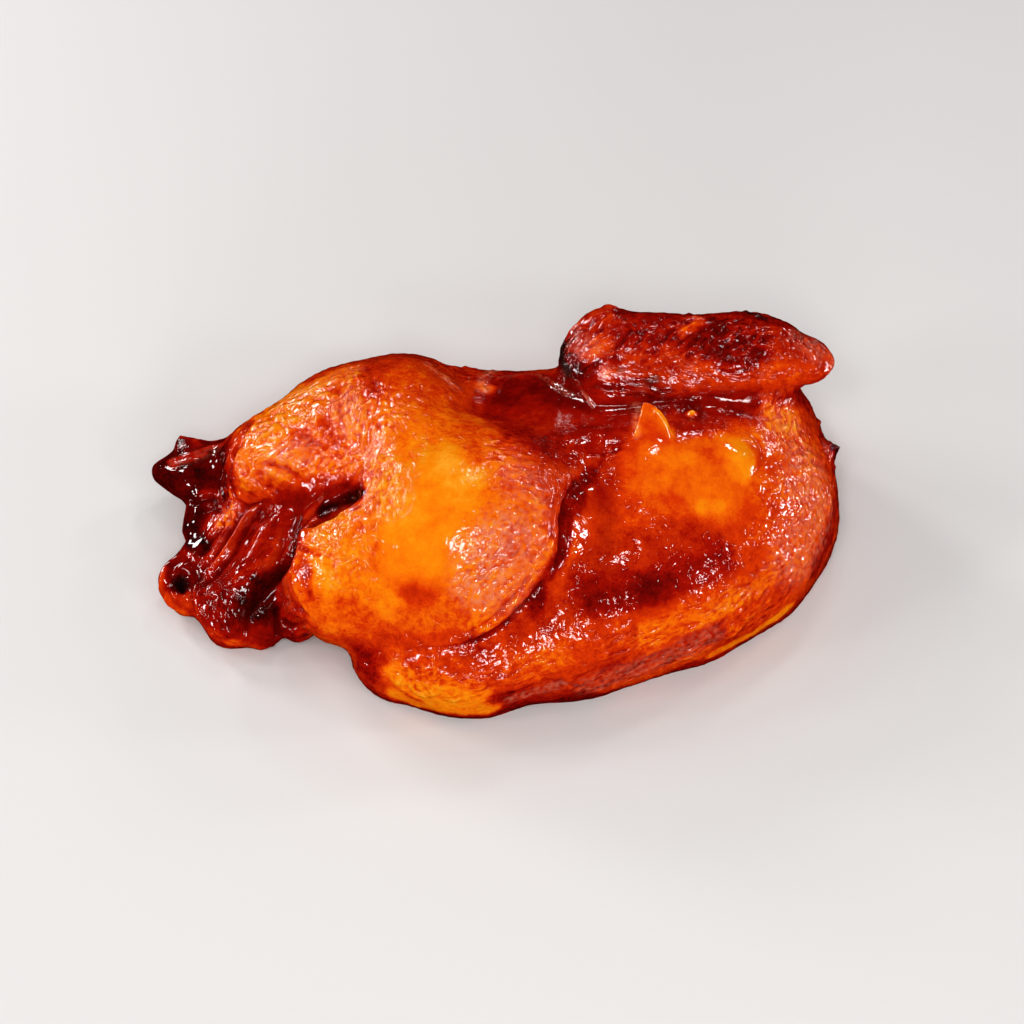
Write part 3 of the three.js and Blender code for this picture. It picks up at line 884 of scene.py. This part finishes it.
class Paint:
    """One material and the nodes that it is made of."""

    def __init__(self, name):
        self.material = bpy.data.materials.new(name)
        self.material.use_nodes = True
        self.tree = self.material.node_tree
        self.tree.nodes.clear()

    def node(self, kind, settings=None, inputs=None, output=0):
        """Adds a node: its settings first, then the values or links of its sockets."""
        made = self.tree.nodes.new(kind)
        for name, value in (settings or {}).items():
            if name == "stops":
                self.set_stops(made.color_ramp.elements, value)
            else:
                setattr(made, name, value)
        for name, value in (inputs or {}).items():
            if isinstance(value, Value):
                self.tree.links.new(value.socket, made.inputs[name])
            else:
                made.inputs[name].default_value = value
        return Value(self, made.outputs[output]) if len(made.outputs) else None

    def set_stops(self, elements, stops):
        while len(elements) < len(stops):
            elements.new(1.0)
        for element, (place, shade) in zip(elements, stops):
            element.position = place
            element.color = (*shade, 1.0)

    def attribute(self, name, output="Fac"):
        return self.node("ShaderNodeAttribute", {"attribute_name": name}, output=output)

    def place(self, scale=(1.0, 1.0, 1.0)):
        """Places on the object, stretched."""
        where = self.node("ShaderNodeTexCoord", output="Object")
        return self.node("ShaderNodeMapping", None, {"Vector": where, "Scale": scale})

    def noise(self, where, scale, detail=2.0, roughness=0.5, distortion=0.0):
        inputs = {"Vector": where, "Scale": scale, "Detail": detail, "Roughness": roughness}
        return self.node("ShaderNodeTexNoise", None, inputs | {"Distortion": distortion})

    def crests(self, where, scale, distortion=0.0):
        """Rounded ridges, from 0 between them to 1 on their crests."""
        off = self.noise(where, scale, detail=1, roughness=0.4, distortion=distortion) - 0.5
        return (1.0 - off * off * 36.0).clipped()

    def bump(self, strength, distance, height):
        inputs = {"Strength": strength, "Distance": distance, "Height": height}
        return self.node("ShaderNodeBump", None, inputs)

    def mix(self, part, one, two):
        """One colour turned into another by the given part. Each is a socket, or red, green and blue."""
        one, two = (shade if isinstance(shade, Value) else (*shade, 1.0) for shade in (one, two))
        return self.node("ShaderNodeMix", {"data_type": "RGBA"}, {0: part, 6: one, 7: two}, output=2)

    def surface(self, shade, roughness, gloss, more=None):
        """A surface: its colour, how rough it is, how strongly it mirrors, and its other sockets."""
        inputs = {"Base Color": shade, "Roughness": roughness, "Specular IOR Level": gloss, **(more or {})}
        return self.node("ShaderNodeBsdfPrincipled", None, inputs)

    def finish(self, surface):
        self.node("ShaderNodeOutputMaterial", None, {"Surface": surface})
        return self.material


def per_mm(span):
    """The scale of a noise texture whose features are so many millimetres apart."""
    return 1000.0 / span


def darker(shade, part):
    return tuple(part * channel for channel in shade)


def paint_skin(colours):
    """Roasted skin: its colour follows its browning, with painted shade and sheen, under a coat of fat and
    glaze.
    """
    paint = Paint("roast_skin")
    where = paint.place()
    traits = ("brown", "hollow", "film", "soot", "wrinkled", "pebbled", "taut")
    tone, hollow, film, soot, wrinkled, pebbled, taut = map(paint.attribute, traits)
    combed = paint.attribute("combed", output="Vector")
    slack = 1.0 - taut
    sunk = hollow.clipped()

    # Fine relief: wrinkles that run one way, crinkles in patches, a finer grain, and pores.
    folds = paint.crests(combed, 0.8)
    fibres = paint.crests(combed, 1.9)
    crinkled = paint.crests(where, per_mm(3.0), distortion=1.0)
    finer = paint.noise(where, per_mm(1.3), detail=1, distortion=0.8)
    pores = paint.node("ShaderNodeTexVoronoi", {"feature": "F1"}, {"Vector": where, "Scale": per_mm(1.4)})
    patches = ((paint.noise(where, per_mm(9), detail=2) - 0.42) * 5.0).clipped()
    relief = wrinkled * (folds * 0.55 + fibres * 0.12) + slack * crinkled * (0.10 + patches * 0.26)
    relief = relief + finer * slack * 0.10 - pores * 0.12 * pebbled
    bumped = paint.bump(1.0, 0.40 * MM, relief)

    # Crests are painted paler, as painted light, and hollows redder, as painted shade, than the skin round
    # them.
    blotches = paint.noise(where, per_mm(7), detail=4, roughness=0.6)
    specks = paint.noise(where, per_mm(2.6), detail=3, roughness=0.6)
    dots = paint.noise(where, per_mm(0.9), detail=1)
    speckled = (specks - 0.5) * 0.26 + (dots - 0.5) * 0.16
    tone = tone + (blotches - 0.5) * 0.36 + speckled * (1.0 - taut * 0.5)
    # painted highlight: the crests of wrinkles and crinkles come out paler
    tone = tone - (folds * 0.9 + fibres * 0.1 - 0.50) * wrinkled * 0.18 - (finer - 0.5) * pebbled * 0.16
    tone = tone - (crinkled - 0.4) * slack * 0.06
    # painted shade: the deeper in a hollow, the darker the skin
    tone = tone + (hollow * 0.12 + sunk * 0.22) * (1.0 - tone)
    stops = [
        (0.00, colours.fat), (0.14, colours.yellow), (0.29, colours.amber), (0.44, colours.orange),
        (0.66, colours.red), (0.80, colours.crimson), (0.93, colours.mahogany), (1.0, colours.soot),
    ]
    shade = paint.node("ShaderNodeValToRGB", {"stops": stops}, {"Fac": tone.clipped()})

    # Over the browning lie a cloudy pale pink, mostly painted sheen and painted highlights, and the
    # scorching.
    cloudy = paint.noise(where, per_mm(1.8), detail=3, roughness=0.6)
    # painted sheen: how much of the pale pink shows
    sheen_and_film = (film * ((cloudy - 0.38) * 3.5).clipped() * 0.7).clipped()
    shade = paint.mix(sheen_and_film, shade, colours.film)
    shade = paint.mix((soot * (0.6 + cloudy * 0.8)).clipped(), shade, colours.soot)

    # The glaze shines, and the bottoms of creases don't.
    streaks = paint.noise(where, per_mm(5), detail=3)
    roughness = (0.03 + streaks * 0.07 + sheen_and_film * 0.05 + sunk * 0.06 + soot * 0.2).clipped()
    glaze = paint.surface(shade, roughness, 0.70, {
        "Normal": bumped,
        "Subsurface Weight": 0.08,
        "Subsurface Radius": (1.0, 0.3, 0.1),
        "Subsurface Scale": 1.5 * MM,
    })
    crease = paint.surface(shade, 0.9, 0.0, {"Normal": bumped})
    depth = ((sunk - 0.25) * 2.5).clipped()
    return paint.finish(paint.node("ShaderNodeMixShader", None, {0: depth, 1: glaze, 2: crease}))


def paint_meat(colours):
    """Cooked flesh on the flat side where the bird was split."""
    paint = Paint("cut_meat")
    fibres = paint.noise(paint.place((0.25, 1.0, 1.0)), per_mm(4), detail=4, roughness=0.6)
    shade = paint.mix(fibres, colours.meat, darker(colours.meat, 0.6))
    return paint.finish(paint.surface(shade, 0.55, 0.4, {"Normal": paint.bump(0.5, 0.5 * MM, fibres)}))


def paint_floor(stage):
    """A pale matt floor, with a trace of unevenness."""
    paint = Paint("pale_floor")
    tone = paint.noise(paint.place(), 3.0, detail=2)
    shade = paint.mix(tone * 0.15, stage.floor, darker(stage.floor, 0.96))
    return paint.finish(paint.surface(shade, 0.6, 0.2))


# ---- Pieces ----

# Points nearer to each other than this are one.
MERGED = 0.01 * MM
CUT_MATERIAL = 1


def add_object(name, data):
    made = bpy.data.objects.new(name, data)
    bpy.context.scene.collection.objects.link(made)
    return made


@contextmanager
def shaping(mesh):
    """A bmesh of the mesh, written back to it when the work on it is done."""
    form = bmesh.new()
    form.from_mesh(mesh)
    yield form
    form.to_mesh(mesh)
    form.free()


def modified(mesh, kind, **settings):
    """A new mesh of what one modifier makes of the given one."""
    draft = add_object("draft", mesh)
    modifier = draft.modifiers.new(kind, kind)
    for name, value in settings.items():
        setattr(modifier, name, value)
    shown = draft.evaluated_get(bpy.context.evaluated_depsgraph_get())
    made = bpy.data.meshes.new_from_object(shown)
    bpy.data.objects.remove(draft)
    return made


def even_skin(side):
    """An even fine mesh of the solid's outside, open along the plane of the cut."""
    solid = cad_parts[NODE].data.copy()
    solid.materials.clear()
    with shaping(solid) as form:
        bmesh.ops.remove_doubles(form, verts=form.verts, dist=MERGED)
    fine = modified(solid, "REMESH", mode="VOXEL", voxel_size=side)
    # The rounded bottom edge is cut off, slivers are merged, and the rim goes down to the plane of the cut.
    cut_height, sliver = 0.6 * side, 0.12 * side
    with shaping(fine) as form:
        bmesh.ops.bisect_plane(
            form, geom=form.verts[:] + form.edges[:] + form.faces[:], dist=MERGED,
            plane_co=(0, 0, cut_height), plane_no=(0, 0, 1), clear_inner=True,
        )
        bmesh.ops.remove_doubles(form, verts=form.verts, dist=sliver)
        for vert in form.verts:
            if vert.is_boundary:
                vert.co.z = 0.0
    return fine


def thin_out(mesh, faces):
    """Merges faces where the skin is flattest, until the given number of triangles is left."""
    mesh.calc_loop_triangles()
    return modified(mesh, "DECIMATE", ratio=min(1.0, faces / len(mesh.loop_triangles)))


def close_cut(mesh):
    """Fills the flat side, in a material of its own."""
    with shaping(mesh) as form:
        rim = [edge for edge in form.edges if edge.is_boundary]
        filled = bmesh.ops.holes_fill(form, edges=rim, sides=0)["faces"]
        for face in form.faces:
            face.smooth = True
        for face in filled:
            face.smooth = False
            face.material_index = CUT_MATERIAL
        for edge in rim:
            edge.smooth = False
        bmesh.ops.recalc_face_normals(form, faces=form.faces)


def set_attribute(mesh, name, values):
    """Keeps one number, or one place, for each point of the mesh."""
    kind, field = ("FLOAT", "value") if values.ndim == 1 else ("FLOAT_VECTOR", "vector")
    layer = mesh.attributes.new(name, kind, "POINT")
    layer.data.foreach_set(field, values.astype(np.float32).ravel())


class CHICKEN_OT_bird(bpy.types.Operator):
    """Make the roasted skin over the solid bird"""

    bl_idname = "chicken.bird"
    bl_label = "Roasted Bird"

    def execute(self, context):
        noise.seed_set(NOISE_SEED)
        shape = context.scene.chicken_skin
        colours = context.scene.chicken_colours
        mesh = even_skin(shape.grain)
        skin = Skin(mesh, Eye(context.scene.chicken_stage))
        skin.points = skin.ease(skin.points, shape.rounding, 0.5 * (1 - skin.amount(KEPT))[:, None])
        press_laps(skin, shape.stroke_depth)
        press_lines(skin, shape.stroke_depth)
        relief = raise_relief(skin, shape)
        skin.points = skin.ease(skin.points, 1)
        skin.store()
        traits = {
            "brown": brown(skin), "hollow": find_hollows(skin), "film": skin.amount(FILM_AND_SHEEN),
            "soot": skin.amount(SCORCHED), **relief,
        }
        for name, values in traits.items():
            set_attribute(mesh, name, values)
        mesh = thin_out(mesh, shape.faces)
        mesh.name = "roast_chicken"
        close_cut(mesh)
        mesh.materials.append(paint_skin(colours))
        mesh.materials.append(paint_meat(colours))
        bird = add_object("roast_chicken", mesh)
        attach(bird, "root")
        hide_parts(NODE)
        return {"FINISHED"}


# ---- Stage ----

# Boxes of light round the bird. Each row is a name, how far round from the back it stands and how high, in
# degrees, its size in metres, its power in watts, and whether the glaze mirrors it.
LIGHTS = [
    ("left_soft", -80, 37, (0.30, 0.45), 0.7, False),
    ("front_soft", 150, 45, (0.30, 0.45), 0.8, False),
    ("front_low_soft", 178, 14, (0.40, 0.20), 2.0, False),
    ("top_soft", 45, 84, (0.90, 0.90), 0.6, False),
    ("left_box", -106, 26, (0.16, 0.14), 1.2, True),
    ("left_low_box", -66, 36, (0.12, 0.12), 0.7, True),
    ("left_back_box", -46, 26, (0.20, 0.20), 2.2, True),
    ("left_side_box", -74, 16, (0.12, 0.12), 0.7, True),
    ("front_left_box", -164, 57, (0.14, 0.14), 0.9, True),
    ("back_box", -5, 60, (0.09, 0.09), 0.4, True),
    ("back_right_box", 20, 44, (0.10, 0.10), 0.5, True),
    ("right_back_box", 52, 30, (0.12, 0.14), 0.8, True),
    ("right_low_box", 90, 12, (0.10, 0.22), 1.8, True),
    ("right_front_box", 130, 34, (0.12, 0.12), 0.7, True),
    ("front_box", 180, 48, (0.20, 0.20), 1.8, True),
]
LIGHT_REACH = 1.0
LIT_PLACE = Vector((0.0, 0.0, 0.03))
FLOOR_HALF = 4.0


def look(made, way):
    """Turns a light or a camera to look along a way, with its top up."""
    made.rotation_euler = way.to_track_quat("-Z", "Y").to_euler()


def add_light(name, round_from_back, height, size, power, mirrored):
    light = bpy.data.lights.new(name, "AREA")
    light.shape = "RECTANGLE"
    light.size, light.size_y = size
    light.energy = power
    turn, rise = math.radians(round_from_back), math.radians(height)
    way = Vector((math.sin(turn) * math.cos(rise), math.cos(turn) * math.cos(rise), math.sin(rise)))
    made = add_object(name, light)
    made.location = LIT_PLACE + LIGHT_REACH * way
    look(made, -way)
    made.visible_glossy = mirrored


def add_floor(stage):
    mesh = bpy.data.meshes.new("floor")
    with shaping(mesh) as form:
        bmesh.ops.create_grid(form, x_segments=2, y_segments=2, size=FLOOR_HALF)
    mesh.materials.append(paint_floor(stage))
    floor = add_object("floor", mesh)
    floor.visible_glossy = False


def add_air(stage):
    """Faint light from all round, which the glaze doesn't mirror."""
    world = bpy.data.worlds.new("air")
    world.use_nodes = True
    air = world.node_tree.nodes["Background"].inputs
    air["Color"].default_value = (*stage.air, 1.0)
    air["Strength"].default_value = stage.air_strength
    world.cycles_visibility.glossy = False
    bpy.context.scene.world = world


def add_camera(stage):
    eye = Eye(stage)
    camera = bpy.data.cameras.new("camera")
    camera.lens = stage.lens
    camera.sensor_width = stage.sensor
    made = add_object("camera", camera)
    made.location = Vector(eye.place)
    look(made, -Vector(eye.back))
    bpy.context.scene.camera = made


class CHICKEN_OT_stage(bpy.types.Operator):
    """Make the floor, the lights and the camera"""

    bl_idname = "chicken.stage"
    bl_label = "Stage"

    def execute(self, context):
        stage = context.scene.chicken_stage
        add_floor(stage)
        for row in LIGHTS:
            add_light(*row)
        add_air(stage)
        add_camera(stage)
        context.scene.view_settings.view_transform = "Standard"
        context.scene.view_settings.look = "Medium High Contrast"
        return {"FINISHED"}


class CHICKEN_PT_panel(bpy.types.Panel):
    """The sizes, the colours and the steps"""

    bl_idname = "CHICKEN_PT_panel"
    bl_label = "Roast Chicken"
    bl_space_type = "VIEW_3D"
    bl_region_type = "UI"
    bl_category = "Chicken"

    def draw(self, context):
        for group, kind in SETTINGS.items():
            box = self.layout.box()
            box.label(text=kind.__doc__)
            for name in kind.__annotations__:
                box.prop(getattr(context.scene, group), name)
        for step in STEPS:
            self.layout.operator(step)


SETTINGS = {"chicken_skin": SkinSettings, "chicken_colours": ColourSettings, "chicken_stage": StageSettings}
STEPS = (CHICKEN_OT_stage.bl_idname, CHICKEN_OT_bird.bl_idname)
CLASSES = (*SETTINGS.values(), CHICKEN_OT_stage, CHICKEN_OT_bird, CHICKEN_PT_panel)


def register():
    for kind in CLASSES:
        bpy.utils.register_class(kind)
    for group, kind in SETTINGS.items():
        setattr(bpy.types.Scene, group, PointerProperty(type=kind))


def unregister():
    for group in SETTINGS:
        delattr(bpy.types.Scene, group)
    for kind in reversed(CLASSES):
        bpy.utils.unregister_class(kind)


def main():
    register()
    for step in STEPS:
        group, name = step.split(".")
        getattr(getattr(bpy.ops, group), name)()


if __name__ == "__main__":
    main()
